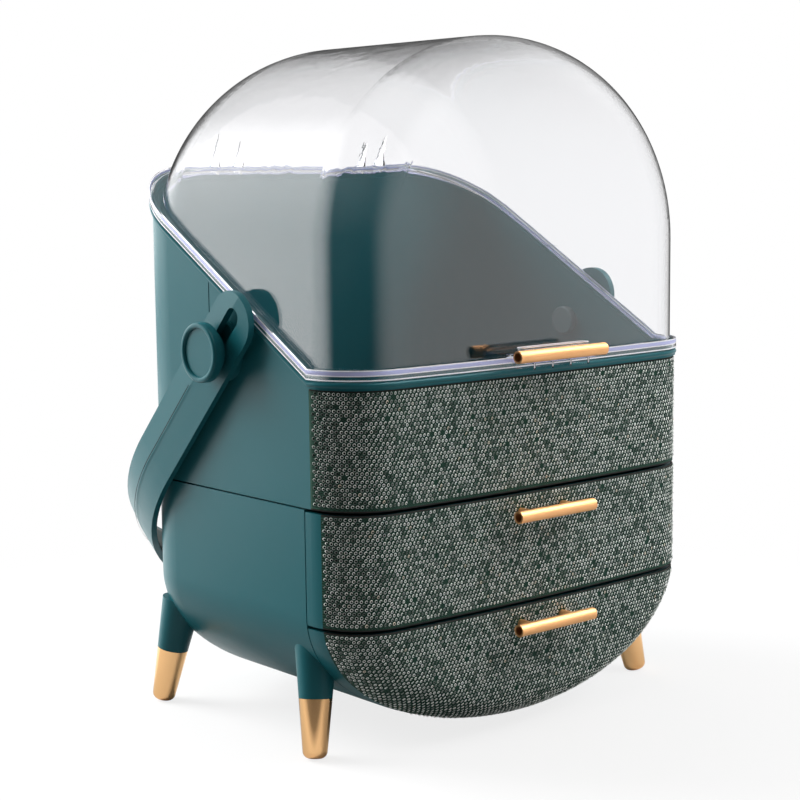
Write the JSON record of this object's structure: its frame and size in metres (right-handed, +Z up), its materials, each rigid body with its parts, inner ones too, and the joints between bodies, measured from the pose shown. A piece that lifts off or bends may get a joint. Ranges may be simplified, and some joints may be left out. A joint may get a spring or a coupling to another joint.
{
  "type": "makeup organizer",
  "caption": "Tabletop makeup organizer on splayed legs: open tub under a hinged clear dome lid, textured drawers below and a swinging carry handle.",
  "frame": {"origin": "on the ground under the middle of the whole object's bounding box", "axes": "+Z up, drawers open towards -Y, X across the width"},
  "size_m": [0.3196, 0.3044, 0.4046],
  "materials": {
    "teal_plastic": "satin moulded",
    "clear_plastic": "polished clear",
    "gold_metal": "polished warm gold",
    "studded_fabric": "dark green mesh set with small bright rings",
    "soft_grip": "matt",
    "steel": "plain"
  },
  "bodies": {
    "base": {"drawer_shelf": "teal_plastic", "housing": "teal_plastic", "leg_cap_front_left": "gold_metal", "leg_cap_front_right": "gold_metal", "leg_cap_rear_left": "gold_metal", "leg_cap_rear_right": "gold_metal", "pivot_bush_left": "teal_plastic", "pivot_bush_right": "teal_plastic", "tub": "teal_plastic", "tub_front_fabric": "studded_fabric"},
    "lid": {"hinge_pin_left": "steel", "hinge_pin_right": "steel", "lid_bar": "gold_metal", "lid_dome": "clear_plastic"},
    "upper_drawer": {"upper_drawer_bar": "gold_metal", "upper_drawer_bar_posts": "gold_metal", "upper_drawer_bar_screws": "steel", "upper_drawer_fabric": "studded_fabric", "upper_drawer_front": "teal_plastic", "upper_drawer_tray": "teal_plastic"},
    "lower_drawer": {"lower_drawer_bar": "gold_metal", "lower_drawer_bar_posts": "gold_metal", "lower_drawer_bar_screws": "steel", "lower_drawer_fabric": "studded_fabric", "lower_drawer_front": "teal_plastic", "lower_drawer_tray": "teal_plastic"},
    "handle_pivot": {"knob_left": "teal_plastic", "knob_right": "teal_plastic", "pivot_nut_left": "teal_plastic", "pivot_nut_right": "teal_plastic", "pivot_pin_left": "steel", "pivot_pin_right": "steel"},
    "handle": {"handle_grip_pad": "soft_grip", "handle_strap": "teal_plastic"}
  },
  "joints": [
    {"name": "lid_hinge", "type": "hinge", "parent": "base", "child": "lid", "pos_m": [0, 0.09916, 0.3185], "axis": [-1, 0, 0], "range_deg": [0, 95]},
    {"name": "upper_drawer_slide", "type": "slide", "parent": "base", "child": "upper_drawer", "axis": [0, -1, 0], "range_m": [0, 0.12]},
    {"name": "lower_drawer_slide", "type": "slide", "parent": "base", "child": "lower_drawer", "axis": [0, -1, 0], "range_m": [0, 0.12]},
    {"name": "handle_swing", "type": "hinge", "parent": "base", "child": "handle_pivot", "pos_m": [0, -0.01734, 0.2268], "axis": [1, 0, 0], "range_deg": [0, 226.5]},
    {"name": "handle_extend", "type": "slide", "parent": "handle_pivot", "child": "handle", "axis": [0, 0.6884, -0.7254], "range_m": [0, 0.028]}
  ]
}
